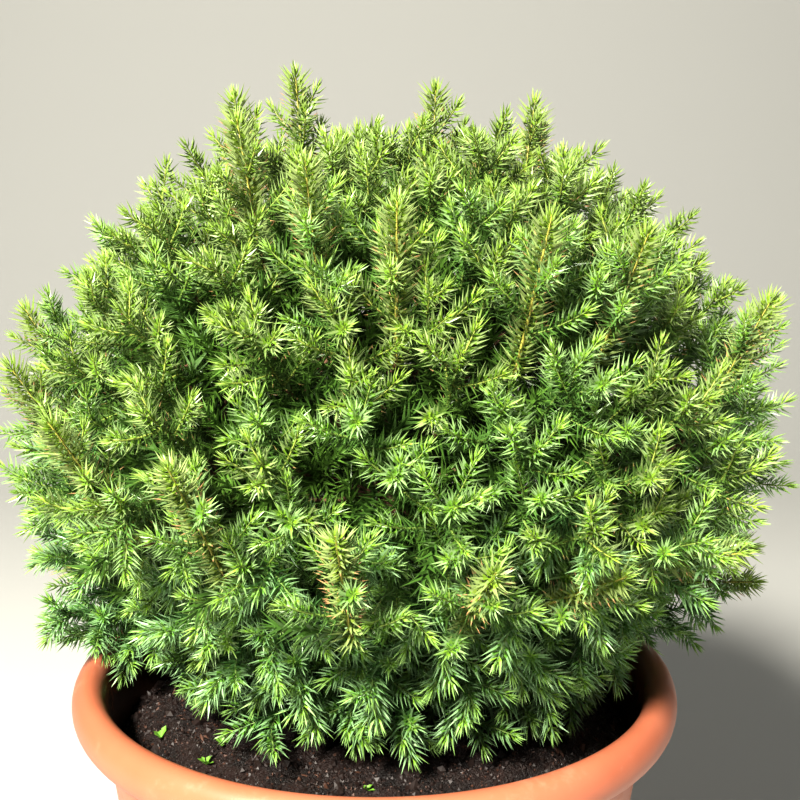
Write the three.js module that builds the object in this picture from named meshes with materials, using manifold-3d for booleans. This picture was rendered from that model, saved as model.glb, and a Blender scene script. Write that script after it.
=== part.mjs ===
// Dwarf garden conifer in a plastic patio pot: a dense round bush of awl-shaped needles on a short stem.
// Units are millimetres and +Z is up. The origin is the centre of the pot's flat underside.
// The crown is split into masses of foliage. Each mass keeps to its own convex space, stands on the tip
// of one bough, and is a solid core with sprays of needles standing out of it.
import * as THREE from "three";
import { mergeVertices } from "three/addons/utils/BufferGeometryUtils.js";
import Module from "manifold-3d";

// ---- Driving dimensions ----

const CLEAR = 0.35; // gap between touching pieces

const POT = {
  height: 300,
  rimRadius: 175, // outside of the rolled rim
  rimWidth: 19,
  rimHeight: 25,
  baseRadius: 120,
  footRound: 3,
  wall: 4,
  floor: 5,
  sides: 32,
  drainHoles: 5,
  drainRadius: 7,
  drainCircle: 72,
};

const SOIL = {
  crest: 279, // height of the root ball's flat top
  crestRadius: 122,
  shoulderRadius: 144,
  shoulder: 262,
  groove: 256, // height of the soil beside the pot's wall
  lump: 2.2, // how far the lumps rise and fall
  inner: 76, // radius of the ring of lumps within the crest
  collar: 30, // flat patch under the stem
};

const TRUNK = {
  base: 14,
  tip: 4.5,
  height: 168,
  flare: 9,
  flareHeight: 16,
  buttress: 0.35, // how far three roots stand out of the flare, as a share of the radius
  leanX: 7,
  leanY: -4,
  sides: 9,
  levels: [0, 4, 10, 22, 45, 75, 105, 135, 168], // heights of its rings
};

const BOUGH = { base: 5.4, tip: 3.2, sides: 4, steps: 3, sag: 0.1, sagAt: 0.55 };

// The crown is a dome, rounder above than below: a superellipsoid with an exponent for each half.
// Its underside is tucked in at the front, and a little more to the right than to the left, where it
// leaves soil and rim in view.
const CROWN = { x: 12, y: 2, z: 415, rx: 208, ry: 200, up: 194, down: 165, above: 2.2, below: 3.4 };
const TUCK = { depth: 0.92, width: 0.35, azimuth: -82 };

const SPACE_GAP = 1.2; // between neighbouring masses
const HEART = 0.64; // where a mass's heart lies, as a share of the way out to the crown's surface
const CORE_OUTER = 0.8; // how far out a core reaches, as such a share
const ROOTED = 0.6; // where a spray is rooted, as a share of the way from the heart to the core's skin
const CORE_EDGE = 3; // how far a core stays inside the sides of its space
const CORE_ROUGH = 0.1; // how far a core's corners stand back at random, as a share of its reach
const CORE_STEP = 1.5; // to find how far out a core reaches
const CORE_ABOVE = 4; // how far a core stays above pot and soil
const STEM_ROOM = 1; // between a core and a stem that passes through it to a neighbour
const INNER_ROOM = 58; // bare room round the trunk for the boughs

// Rings of masses, from the top of the crown down. Heights are where their boughs leave the trunk.
const RINGS = [
  { name: "top", count: 1, latitude: 90, first: 0, bough: 0, steps: 1, rise: 0 },
  { name: "shoulder", count: 6, latitude: 47, first: 12, bough: 398, steps: 2, rise: 17 },
  { name: "flank", count: 9, latitude: 8, first: -14, bough: 342, steps: 3, rise: 15 },
  { name: "skirt", count: 7, latitude: -38, first: 6, bough: 299, steps: 2, rise: 16 },
];

// Sprays stand on the crown's surface along a golden-angle spiral.
const SPRAYS = 196;
const GOLDEN_ANGLE = 137.508;
const LOWEST = -0.8; // sine of the latitude of the lowest spray
const SCATTER = 5; // degrees
const LEADER_EVERY = 4;
const SEED = 20;
const TRIES = 4; // for a spray that doesn't fit: each is turned a little and raised
const RAISE = 3;
const STEM_SIDES = 3;
const STEM_TAPER = 0.45;
const TIER_TURN = 0.55; // from one tier of needles to the next
const ADDED = { least: 20, most: 90 }; // triangles that a spray adds, unless it is lost or tangled in others

// A needle's reach at the foot of its spray and how much of that it loses by the tip, and how far it
// stands out and leans forward, as shares of its reach.
const NEEDLE = { long: 1.08, loses: 0.42, out: 0.8, forward: 0.62 };

const LEADER = { length: 72, grow: 32, reach: 16.5, lift: 1.35, tiers: 3, stem: 3.1 };
const SIDE = { length: 50, grow: 8, reach: 16, lift: 0.4, tiers: 2, stem: 2.9 };

const COLOURS = {
  pot: 0xd9805a,
  soil: 0x2e1f19,
  bark: 0x6b4c34,
  foliage: [0x6f9c33, 0x5f8f30, 0x7da63b],
};

const TOLERANCES = [2e-3, 1e-3, 1e-4]; // sizes of gap that must not break a mass open

// ---- Small helpers ----

const wasm = await Module();
wasm.setup();

const radians = THREE.MathUtils.degToRad;
const lerp = THREE.MathUtils.lerp;
const vec = (x, y, z) => new THREE.Vector3(x, y, z);
const UP = vec(0, 0, 1);

// Repeatable random numbers from 0 to 1 for one whole-number seed.
function seeded(seed) {
  let state = seed >>> 0;
  return () => {
    state = (state + 0x6d2b79f5) >>> 0;
    let mixed = Math.imul(state ^ (state >>> 15), state | 1);
    mixed ^= mixed + Math.imul(mixed ^ (mixed >>> 7), mixed | 61);
    return ((mixed ^ (mixed >>> 14)) >>> 0) / 4294967296;
  };
}

// Gathers points and triangles, and closes them into a manifold solid.
class Skin {
  constructor() {
    this.points = [];
    this.triangles = [];
  }

  point(p) {
    this.points.push(p.x, p.y, p.z);
    return this.points.length / 3 - 1;
  }

  ring(points) {
    return points.map((p) => this.point(p));
  }

  at(index) {
    return vec(...this.points.slice(3 * index, 3 * index + 3));
  }

  triangle(a, b, c) {
    this.triangles.push(a, b, c);
  }

  // The two triangles of each side between two rings with the same number of points.
  sides(lower, upper) {
    const found = [];
    lower.forEach((a, i) => {
      const next = (i + 1) % lower.length;
      found.push([a, lower[next], upper[next]], [a, upper[next], upper[i]]);
    });
    return found;
  }

  bridge(lower, upper) {
    this.sides(lower, upper).forEach((t) => this.triangle(...t));
  }

  cone(ring, tip) {
    ring.forEach((a, i) => this.triangle(a, ring[(i + 1) % ring.length], tip));
  }

  capStart(ring) {
    for (let i = 1; i + 1 < ring.length; i++) this.triangle(ring[0], ring[i + 1], ring[i]);
  }

  capEnd(ring) {
    for (let i = 1; i + 1 < ring.length; i++) this.triangle(ring[0], ring[i], ring[i + 1]);
  }

  solid() {
    const mesh = new wasm.Mesh({
      numProp: 3,
      vertProperties: new Float32Array(this.points),
      triVerts: new Uint32Array(this.triangles),
    });
    return new wasm.Manifold(mesh);
  }
}

// The largest body of a solid, without loose scraps and with sealed hollows filled.
function mainBody(solid) {
  return solid.decompose().reduce((best, body) => (body.volume() > best.volume() ? body : best));
}

// Whether a solid stays closed when corners closer than a tolerance are merged.
function closesAt(solid, tolerance) {
  const { index } = mergeVertices(geometryOf(solid).deleteAttribute("normal"), tolerance);
  const edges = new Set();
  for (let i = 0; i < index.count; i += 3) {
    const corners = [0, 1, 2].map((k) => index.getX(i + k));
    if (new Set(corners).size < 3) return false;
    for (let k = 0; k < 3; k++) {
      const edge = `${corners[k]} ${corners[(k + 1) % 3]}`;
      if (edges.has(edge)) return false;
      edges.add(edge);
    }
  }
  return [...edges].every((edge) => edges.has(edge.split(" ").reverse().join(" ")));
}

// A closed three.js geometry as a manifold solid.
function solidOf(geometry) {
  const bare = geometry.clone();
  bare.deleteAttribute("normal");
  bare.deleteAttribute("uv");
  const merged = mergeVertices(bare, 1e-3);
  const mesh = new wasm.Mesh({
    numProp: 3,
    vertProperties: merged.attributes.position.array,
    triVerts: new Uint32Array(merged.index.array),
  });
  return new wasm.Manifold(mesh);
}

function geometryOf(solid) {
  const mesh = solid.getMesh();
  const geometry = new THREE.BufferGeometry();
  geometry.setAttribute("position", new THREE.BufferAttribute(mesh.vertProperties, 3));
  geometry.setIndex(new THREE.BufferAttribute(mesh.triVerts, 1));
  geometry.computeVertexNormals();
  return geometry;
}

// Two directions square to an axis and to each other.
function frameOf(axis) {
  const side = Math.abs(axis.z) > 0.9 ? vec(1, 0, 0) : UP;
  const u = vec().crossVectors(side, axis).normalize();
  return [u, vec().crossVectors(axis, u).normalize()];
}

function circle(centre, axis, radius, count, turn = 0) {
  const [u, v] = frameOf(axis);
  return Array.from({ length: count }, (_, i) => {
    const angle = turn + (i / count) * 2 * Math.PI;
    return centre
      .clone()
      .addScaledVector(u, radius * Math.cos(angle))
      .addScaledVector(v, radius * Math.sin(angle));
  });
}

// ---- Pot and soil ----

function wallRadius(z) {
  const top = POT.rimRadius - POT.rimWidth + POT.wall * 0.4;
  return lerp(POT.baseRadius, top, z / (POT.height - POT.rimHeight));
}

function innerRadius(z) {
  return Math.min(wallRadius(z) - POT.wall, POT.rimRadius - POT.rimWidth);
}

// The half-section of the pot: foot, tapered wall, rolled rim and inside.
function potProfile() {
  const rim = { r: POT.rimRadius - POT.rimWidth / 2, z: POT.height - POT.rimHeight / 2 };
  const profile = [
    [0, 0],
    [POT.baseRadius - POT.footRound, 0],
    [POT.baseRadius, POT.footRound],
    [wallRadius(POT.height - POT.rimHeight), POT.height - POT.rimHeight + 1],
  ];
  for (let angle = -60; angle <= 180; angle += 40) {
    const r = rim.r + (POT.rimWidth / 2) * Math.cos(radians(angle));
    profile.push([r, rim.z + (POT.rimHeight / 2) * Math.sin(radians(angle))]);
  }
  const throat = POT.height - POT.rimHeight;
  profile.push([innerRadius(throat), throat], [innerRadius(POT.floor), POT.floor], [0, POT.floor]);
  return profile.map(([r, z]) => new THREE.Vector2(r, z));
}

function makePot() {
  const lathe = new THREE.LatheGeometry(potProfile(), POT.sides).rotateX(Math.PI / 2);
  let pot = solidOf(lathe);
  for (let i = 0; i < POT.drainHoles; i++) {
    const angle = (i / POT.drainHoles) * 2 * Math.PI;
    const hole = new THREE.CylinderGeometry(POT.drainRadius, POT.drainRadius, 4 * POT.floor, 8);
    hole.rotateX(Math.PI / 2);
    hole.translate(POT.drainCircle * Math.cos(angle), POT.drainCircle * Math.sin(angle), 0);
    pot = pot.subtract(solidOf(hole));
  }
  return pot;
}

// Height of the soil's lumpy top at a distance from the pot's axis.
function soilHeight(radius, angle) {
  if (radius <= SOIL.collar) return SOIL.crest;
  const lump = SOIL.lump * (Math.sin(5 * angle + radius / 11) + Math.cos(3 * angle - radius / 7));
  if (radius <= SOIL.crestRadius) return SOIL.crest + lump;
  if (radius <= SOIL.shoulderRadius) return SOIL.shoulder + lump;
  return SOIL.groove;
}

function makeSoil() {
  const skin = new Skin();
  const wallGap = CLEAR + 0.1;
  const levels = [
    [innerRadius(POT.floor) - wallGap, POT.floor + CLEAR],
    [innerRadius(SOIL.groove) - wallGap, SOIL.groove],
  ];
  const ringAt = (radius, height) =>
    skin.ring(
      Array.from({ length: POT.sides }, (_, i) => {
        const angle = (i / POT.sides) * 2 * Math.PI;
        return vec(radius * Math.cos(angle), radius * Math.sin(angle), height(angle));
      }),
    );
  const rings = levels.map(([radius, z]) => ringAt(radius, () => z));
  for (const radius of [SOIL.shoulderRadius, SOIL.crestRadius, SOIL.inner, SOIL.collar])
    rings.push(ringAt(radius, (angle) => soilHeight(radius, angle)));
  skin.capStart(rings[0]);
  rings.slice(1).forEach((ring, i) => skin.bridge(rings[i], ring));
  skin.capEnd(rings.at(-1));
  return skin.solid();
}

// ---- Trunk and boughs ----

const trunkFoot = SOIL.crest + CLEAR;

function trunkCentre(z) {
  const share = (z - trunkFoot) / TRUNK.height;
  return vec(TRUNK.leanX * Math.sin(2.2 * share), TRUNK.leanY * share * share, z);
}

function trunkRadius(above, angle) {
  const fade = Math.exp(-above / (TRUNK.flareHeight / 2));
  const round = lerp(TRUNK.base, TRUNK.tip, above / TRUNK.height) + TRUNK.flare * fade;
  return round * (1 + TRUNK.buttress * fade * Math.cos(3 * angle));
}

// The stem with its root flare. Fatter by grow, it cuts the boughs clear of it.
function makeTrunk(grow = 0) {
  const skin = new Skin();
  const rings = TRUNK.levels.map((above) => {
    const centre = trunkCentre(trunkFoot + above);
    return skin.ring(
      Array.from({ length: TRUNK.sides }, (_, i) => {
        const angle = (i / TRUNK.sides) * 2 * Math.PI;
        const radius = trunkRadius(above, angle) + grow;
        return centre.clone().add(vec(radius * Math.cos(angle), radius * Math.sin(angle), 0));
      }),
    );
  });
  skin.capStart(rings[0]);
  rings.slice(1).forEach((ring, i) => skin.bridge(rings[i], ring));
  skin.capEnd(rings.at(-1));
  return skin.solid();
}

// ---- The crown's shape and its spaces ----

const crownCentre = vec(CROWN.x, CROWN.y, CROWN.z);

// How far out a step from the crown's centre leads: 0 at the centre, 1 on the surface.
function shareOfStep(step) {
  const upper = step.z > 0;
  const power = upper ? CROWN.above : CROWN.below;
  const across = Math.hypot(step.x / CROWN.rx, step.y / CROWN.ry);
  const height = Math.abs(step.z) / (upper ? CROWN.up : CROWN.down);
  const forward = towards(TUCK.azimuth, 0).dot(vec(step.x / CROWN.rx, step.y / CROWN.ry, 0));
  const front = THREE.MathUtils.smoothstep(forward, 0, TUCK.width * across);
  const tuck = upper ? 0 : (TUCK.depth * front * height) / (across + height);
  return ((across * (1 + tuck)) ** power + height ** power) ** (1 / power);
}

function shareOf(point) {
  return shareOfStep(point.clone().sub(crownCentre));
}

// The point on the crown's surface, or a share of the way out to it, in a direction from its centre.
function outwards(direction, share = 1) {
  return crownCentre.clone().addScaledVector(direction, share / shareOfStep(direction));
}

// The direction in which the crown's surface faces at a point.
function facing(point) {
  const step = 0.5;
  const slope = [vec(step, 0, 0), vec(0, step, 0), vec(0, 0, step)].map(
    (aside) => shareOf(point.clone().add(aside)) - shareOf(point.clone().sub(aside)),
  );
  return vec(...slope).normalize();
}

function towards(azimuth, latitude) {
  const across = Math.cos(radians(latitude));
  return vec(
    across * Math.cos(radians(azimuth)),
    across * Math.sin(radians(azimuth)),
    Math.sin(radians(latitude)),
  );
}

const masses = RINGS.flatMap((ring) =>
  Array.from({ length: ring.count }, (_, i) => ({
    ring,
    number: i,
    name: ring.count > 1 ? `${ring.name}_${i + 1}` : ring.name,
    heart: outwards(towards(ring.first + (360 * i) / ring.count, ring.latitude), HEART),
    sprays: [],
  })),
);

// The flat walls between a mass's space and its neighbours', halfway between their hearts.
for (const mass of masses)
  mass.walls = masses
    .filter((other) => other !== mass)
    .map((other) => ({
      middle: vec().addVectors(mass.heart, other.heart).multiplyScalar(0.5),
      normal: vec().subVectors(other.heart, mass.heart).normalize(),
    }));

// How far a point stands past a wall; negative inside.
function past(wall, point) {
  return point.clone().sub(wall.middle).dot(wall.normal) + SPACE_GAP / 2;
}

function nearestMass(point) {
  return masses.reduce((best, mass) =>
    mass.heart.distanceToSquared(point) < best.heart.distanceToSquared(point) ? mass : best,
  );
}

// The lowest that foliage may hang at a point: over the soil, over the rim or outside the pot.
function lowestAt(point) {
  const radius = Math.hypot(point.x, point.y);
  if (radius < POT.rimRadius - POT.rimWidth - 6) return SOIL.crest + 2 * SOIL.lump + 1;
  return radius < POT.rimRadius + 4 ? POT.height + 2 : POT.height - POT.rimHeight;
}

// How far a point is from the trunk's own line.
const trunkLine = new THREE.Line3(trunkCentre(trunkFoot), trunkCentre(trunkFoot + TRUNK.height));
function fromTrunk(point) {
  return trunkLine.closestPointToPoint(point, true, vec()).distanceTo(point);
}

// ---- Sprays of needles ----

// Where one spray stands, which way it points and how long it is.
function planSpray(i) {
  const random = seeded(SEED + i);
  const z = 1 - ((i + 0.5) / SPRAYS) * (1 - LOWEST);
  const azimuth = i * GOLDEN_ANGLE + SCATTER * (random() - 0.5);
  const across = Math.sqrt(1 - z * z);
  const direction = vec(across * Math.cos(radians(azimuth)), across * Math.sin(radians(azimuth)), z);
  const leader = i % LEADER_EVERY === 0 && z > -0.35;
  const kind = leader ? LEADER : SIDE;
  const lift = kind.lift * (z > 0 ? 1 : 1 + z / 0.5);
  const aim = facing(outwards(direction)).addScaledVector(UP, Math.max(lift, -0.2)).normalize();
  const grow = kind.grow * (leader ? 0.4 + 0.6 * random() : random() - 0.4);
  const tip = outwards(direction).addScaledVector(aim, grow);
  const length = kind.length * (0.9 + 0.2 * random());
  const foot = tip.clone().addScaledVector(aim, -length);
  return { kind, foot, tip, turn: 2 * Math.PI * random() };
}

// Moves a spray by the least that keeps it inside its mass's space and above pot and soil.
function settle(spray, mass) {
  const ends = [spray.foot, spray.tip];
  const move = (by) => ends.forEach((end) => end.add(by));
  for (let round = 0; round < 4; round++) {
    for (const wall of mass.walls) {
      const over = Math.max(...ends.map((end) => past(wall, end))) + spray.kind.reach;
      if (over > 0) move(wall.normal.clone().multiplyScalar(-over));
    }
    const sunk = Math.max(...ends.map((end) => lowestAt(end) + 0.6 * spray.kind.reach - end.z));
    if (sunk > 0) move(vec(0, 0, sunk));
  }
}

// A slim three-sided stem, rooted in the core. Past its foot, every face of it rises to a needle.
function makeSpray(mass, spray) {
  const { foot, tip, kind, turn } = spray;
  const skin = new Skin();
  const axis = vec().subVectors(tip, foot).normalize();
  const start = vec().subVectors(foot, mass.heart);
  const depth = Math.min(coreReach(mass, start.clone().normalize()), start.length());
  const root = mass.heart.clone().addScaledVector(start.normalize(), ROOTED * depth);
  let ring = skin.ring(circle(root, start, kind.stem, STEM_SIDES, turn));
  skin.capStart(ring);
  for (let tier = 0; tier <= kind.tiers; tier++) {
    const share = tier / (kind.tiers + 0.5);
    const centre = foot.clone().lerp(tip, share);
    const radius = kind.stem * (1 - STEM_TAPER * share);
    const next = skin.ring(circle(centre, axis, radius, STEM_SIDES, turn + tier * TIER_TURN));
    if (tier === 0) skin.bridge(ring, next);
    else addNeedles(skin, ring, next, axis, centre, kind.reach * (NEEDLE.long - NEEDLE.loses * share));
    ring = next;
  }
  skin.cone(ring, skin.point(tip));
  return skin;
}

function addNeedles(skin, lower, upper, axis, centre, reach) {
  for (const [a, b, c] of skin.sides(lower, upper)) {
    const middle = skin.at(a).add(skin.at(b)).add(skin.at(c)).divideScalar(3);
    const outward = middle.clone().sub(centre);
    outward.addScaledVector(axis, -outward.dot(axis)).normalize();
    middle.addScaledVector(outward, reach * NEEDLE.out).addScaledVector(axis, reach * NEEDLE.forward);
    skin.cone([a, b, c], skin.point(middle));
  }
}

// Whether every corner of a spray's outer stretch lies inside its mass's space.
function staysInside(skin, mass) {
  for (let i = STEM_SIDES; i < skin.points.length / 3; i++) {
    const point = skin.at(i);
    if (point.z < lowestAt(point) || fromTrunk(point) < INNER_ROOM / 2) return false;
    if (mass.walls.some((wall) => past(wall, point) > 0)) return false;
  }
  return true;
}

// ---- Masses ----

// How far from the heart a mass's core may reach in one direction.
function coreReach(mass, direction) {
  for (let reach = 0; ; reach += CORE_STEP) {
    const point = mass.heart.clone().addScaledVector(direction, reach + CORE_STEP);
    if (shareOf(point) > CORE_OUTER || fromTrunk(point) < INNER_ROOM) return reach;
    if (mass.walls.some((wall) => past(wall, point) + CORE_EDGE > 0)) return reach;
    if (point.z < lowestAt(point) + CORE_ABOVE) return reach;
  }
}

function makeCore(mass, random) {
  const ball = new THREE.IcosahedronGeometry(1, 1);
  ball.deleteAttribute("normal");
  ball.deleteAttribute("uv");
  const core = mergeVertices(ball, 1e-3);
  const corners = core.attributes.position;
  for (let i = 0; i < corners.count; i++) {
    const direction = vec().fromBufferAttribute(corners, i).normalize();
    const reach = coreReach(mass, direction) * (1 - CORE_ROUGH * random());
    const corner = mass.heart.clone().addScaledVector(direction, reach);
    corners.setXYZ(i, corner.x, corner.y, corner.z);
  }
  return solidOf(core);
}

// Where a bough leaves the trunk, how it bends and where it meets its mass.
function planBough(mass) {
  const { ring, number } = mass;
  if (!ring.bough) {
    const start = trunkCentre(trunkFoot + TRUNK.height);
    return { start, end: start, tangent: vec().subVectors(mass.heart, start).normalize() };
  }
  const start = trunkCentre(ring.bough + (number % ring.steps) * ring.rise);
  const out = vec().subVectors(mass.heart, start);
  let end = mass.heart;
  for (let share = 1; fromTrunk(end) > INNER_ROOM - 2 * BOUGH.tip; share -= 0.01)
    end = start.clone().addScaledVector(out, share);
  const bend = start.clone().lerp(end, BOUGH.sagAt).addScaledVector(UP, -BOUGH.sag * out.length());
  return { start, bend, end, tangent: vec().subVectors(end, bend).normalize() };
}

function makeBough(plan, fatTrunk) {
  const skin = new Skin();
  const curve = new THREE.QuadraticBezierCurve3(plan.start, plan.bend, plan.end);
  const rings = Array.from({ length: BOUGH.steps + 1 }, (_, i) => {
    const share = i / BOUGH.steps;
    const radius = lerp(BOUGH.base, BOUGH.tip, share);
    return skin.ring(circle(curve.getPoint(share), curve.getTangent(share), radius, BOUGH.sides));
  });
  skin.capStart(rings[0]);
  rings.slice(1).forEach((ring, i) => skin.bridge(rings[i], ring));
  skin.capEnd(rings.at(-1));
  return skin.solid().subtract(fatTrunk);
}

// The stem that grows on from the bough's tip to the mass's heart. Fatter by grow, it cuts its
// neighbours clear of it.
function makeStem(mass, grow = 0) {
  const skin = new Skin();
  const { end, tangent } = mass.plan;
  const start = end.clone().addScaledVector(tangent, CLEAR - grow);
  const first = skin.ring(circle(start, tangent, BOUGH.tip + grow, BOUGH.sides));
  const last = skin.ring(circle(mass.heart, tangent, BOUGH.tip * 0.6 + grow, BOUGH.sides));
  skin.capStart(first);
  skin.bridge(first, last);
  skin.capEnd(last);
  return skin.solid();
}

// A mass with one more spray, or as it was where the spray doesn't fit.
function fuseSpray(solid, mass, spray) {
  for (let attempt = 0; attempt < TRIES; attempt++) {
    const skin = makeSpray(mass, spray);
    spray.turn += TIER_TURN;
    spray.foot.z += RAISE;
    spray.tip.z += RAISE;
    if (!staysInside(skin, mass)) continue;
    const larger = mainBody(solid.add(skin.solid()));
    const added = larger.numTri() - solid.numTri();
    if (added < ADDED.least || added > ADDED.most) continue;
    if (TOLERANCES.every((tolerance) => closesAt(larger, tolerance))) return larger;
  }
  return solid;
}

function makeMass(mass) {
  const random = seeded(SEED * 1000 + masses.indexOf(mass));
  let core = makeCore(mass, random);
  for (const other of masses) if (other !== mass) core = core.subtract(makeStem(other, STEM_ROOM));
  const body = mainBody(core).add(makeStem(mass));
  return mass.sprays.reduce((solid, spray) => fuseSpray(solid, mass, spray), body);
}

// ---- The whole plant ----

for (let i = 0; i < SPRAYS; i++) {
  const spray = planSpray(i);
  const mass = nearestMass(spray.foot.clone().lerp(spray.tip, 0.5));
  settle(spray, mass);
  mass.sprays.push(spray);
}

const materials = {
  pot: new THREE.MeshStandardMaterial({ color: COLOURS.pot, roughness: 0.45, metalness: 0 }),
  soil: new THREE.MeshStandardMaterial({ color: COLOURS.soil, roughness: 0.95, metalness: 0 }),
  bark: new THREE.MeshStandardMaterial({ color: COLOURS.bark, roughness: 0.85, metalness: 0 }),
  foliage: COLOURS.foliage.map(
    (color) => new THREE.MeshStandardMaterial({ color, roughness: 0.6, metalness: 0 }),
  ),
};

const plant = new THREE.Group();

function addPiece(name, solid, material) {
  const mesh = new THREE.Mesh(geometryOf(solid), material);
  mesh.name = name;
  plant.add(mesh);
}

addPiece("pot", makePot(), materials.pot);
addPiece("potting_soil", makeSoil(), materials.soil);
addPiece("trunk", makeTrunk(), materials.bark);
const fatTrunk = makeTrunk(CLEAR);
for (const mass of masses) mass.plan = planBough(mass);
masses.forEach((mass, i) => {
  const { plan } = mass;
  if (plan.bend) addPiece(`bough_${mass.name}`, makeBough(plan, fatTrunk), materials.bark);
  addPiece(`foliage_${mass.name}`, makeMass(mass), materials.foliage[i % materials.foliage.length]);
});

export default plant;
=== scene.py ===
"""Dwarf conifer in a terracotta-coloured patio pot: its looks, in metres, in place of its solids.

The crown grows by the same seeded rule as the solids: masses of foliage in their own spaces, and
sprays that stand on the crown's surface. Here each spray becomes a twig with side shoots, coated in
needles.
"""

import math

import bmesh
import bpy
import numpy as np
from mathutils import Matrix, Vector, noise


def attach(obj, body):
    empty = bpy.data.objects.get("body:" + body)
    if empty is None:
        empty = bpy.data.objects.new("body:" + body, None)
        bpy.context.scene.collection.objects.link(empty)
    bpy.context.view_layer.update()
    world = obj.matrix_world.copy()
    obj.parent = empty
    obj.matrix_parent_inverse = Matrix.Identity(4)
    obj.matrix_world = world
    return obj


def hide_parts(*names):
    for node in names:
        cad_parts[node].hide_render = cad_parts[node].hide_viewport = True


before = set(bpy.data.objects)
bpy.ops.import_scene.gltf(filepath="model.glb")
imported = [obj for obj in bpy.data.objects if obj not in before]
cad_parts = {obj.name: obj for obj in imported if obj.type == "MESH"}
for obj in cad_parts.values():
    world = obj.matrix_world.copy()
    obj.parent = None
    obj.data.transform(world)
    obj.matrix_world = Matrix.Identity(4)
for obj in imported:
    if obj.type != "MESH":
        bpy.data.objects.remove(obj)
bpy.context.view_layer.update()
MM = 0.001

# ---- Sizes, in metres ----

RIM_RADIUS, RIM_WIDTH, RIM_HEIGHT = 175 * MM, 19 * MM, 25 * MM
POT_HEIGHT, POT_BASE, FOOT_ROUND = 300 * MM, 120 * MM, 3 * MM
WALL, FLOOR = 4 * MM, 5 * MM
BASE_RING = 60 * MM  # a ring of points in the middle of the pot's base
DRAIN_HOLES, DRAIN_RADIUS, DRAIN_CIRCLE = 5, 7 * MM, 72 * MM

SOIL_CREST, SOIL_CREST_RADIUS = 279 * MM, 122 * MM
SOIL_SHOULDER, SOIL_SHOULDER_RADIUS = 262 * MM, 144 * MM
SOIL_GROOVE = 256 * MM
SOIL_TOP = SOIL_CREST + 4.4 * MM  # the highest lump
SOIL_SLACK, SOIL_RINGS, SOIL_SEGMENTS = 0.6 * MM, 110, 360
SOIL_EDGE, SOIL_MIDDLE, SOIL_EASED = 6 * MM, 12 * MM, 30 * MM  # where the lumps fade out

TRUNK_FOOT, TRUNK_HEIGHT = SOIL_CREST, 168 * MM
TRUNK_BASE, TRUNK_TIP, TRUNK_FLARE, TRUNK_FLARE_HEIGHT = 14 * MM, 4.5 * MM, 9 * MM, 16 * MM
BUTTRESS = 0.35  # how far three roots stand out of the flare, as a share of the radius
TRUNK_LEAN = (7 * MM, -4 * MM)
TRUNK_STEPS, TRUNK_SIDES, TRUNK_RIDGE = 60, 36, 1.6 * MM
BOUGH_BASE, BOUGH_TIP = 5.4 * MM, 3.2 * MM
BOUGH_STEPS, BOUGH_SIDES, BOUGH_RIDGE = 14, 14, 0.7 * MM
BOUGH_BEND, BOUGH_SAG = 0.55, 0.1  # where a bough bends and how deep, as shares of its way

CROWN_CENTRE = Vector((12, 2, 415)) * MM
CROWN_RX, CROWN_RY, CROWN_UP, CROWN_DOWN = 208 * MM, 200 * MM, 194 * MM, 165 * MM
CROWN_ABOVE, CROWN_BELOW = 2.2, 3.4  # exponents of the dome's upper and lower halves
TUCK_DEPTH, TUCK_WIDTH, TUCK_AZIMUTH = 0.92, 0.35, -82  # how the underside is drawn in at the front
PAST_CROWN = 1.16  # how far out a shoot may reach, as a share of the crown
# Foliage hangs over the soil up to the first radius, over the rim up to the second, then outside.
INSIDE_RIM, OUTSIDE_RIM = RIM_RADIUS - RIM_WIDTH - 6 * MM, RIM_RADIUS + 4 * MM
OVER_SOIL, OVER_RIM, OUTSIDE_POT = SOIL_TOP + 1 * MM, POT_HEIGHT + 2 * MM, POT_HEIGHT - RIM_HEIGHT
SPACE_GAP = 1.2 * MM  # between masses
HEART = 0.64  # how far out a mass has its heart
INNER_ROOM = 58 * MM  # room round the trunk, at whose edge the boughs end

# Rings of masses: name, count, latitude, first azimuth, the lowest bough's height, how many heights
# the boughs take in turn, and the rise between them.
RINGS = [
    ("top", 1, 90, 0, 0, 1, 0),
    ("shoulder", 6, 47, 12, 398 * MM, 2, 17 * MM),
    ("flank", 9, 8, -14, 342 * MM, 3, 15 * MM),
    ("skirt", 7, -38, 6, 299 * MM, 2, 16 * MM),
]

SPRAYS = 196
GOLDEN_ANGLE = 137.508
LOWEST = -0.8  # sine of the lowest spray's latitude
SCATTER = 5  # degrees
LEADER_EVERY, LEADER_LOWEST = 4, -0.35
LIFTED_TO, MOST_DROOP = 0.5, -0.2  # sprays rise down to this sine of latitude under the middle
SETTLE_ROUNDS, SETTLE_ROOM = 4, 0.6
SEED = 20
LEADER = {"length": 72 * MM, "grow": 32 * MM, "reach": 16.5 * MM, "lift": 1.35}
SIDE = {"length": 50 * MM, "grow": 8 * MM, "reach": 16 * MM, "lift": 0.4}

BETWEEN_LOWER = 7 * MM  # how far the sprays in the gaps stand below the others
WALL_SHARE = 0.3  # the share of a spray's reach that stays inside its mass: needles may cross over

NEEDLE_LENGTH, NEEDLE_WIDTH, NEEDLE_BEND = 9.2 * MM, 1.12 * MM, 3.0 * MM
NEEDLE_BROAD = 0.38  # where a needle is widest, as a share of the way along it
NEEDLE_ROUGHNESS, NEEDLE_SHEEN = 0.42, 0.6
SPIN_JITTER, TILT_JITTER = 0.3, 0.13  # radians either way
NEEDLE_LENGTHS = (0.82, 1.12)  # the shortest and the longest, as shares of the usual length
THICK_SHARE = 0.55  # the part of a needle's width that doesn't grow with its length
GROWN_AT = 0.8  # where needles reach full length, as a share of where they stand fully open

UP = Vector((0, 0, 1))


# ---- Node trees written as Python ----


def math_node(operation, flipped=False):
    """An operator of Wire that adds a Math node."""

    def method(self, other):
        values = (other, self) if flipped else (self, other)
        return self.graph.add("ShaderNodeMath", {"operation": operation}, *values)

    return method


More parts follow.
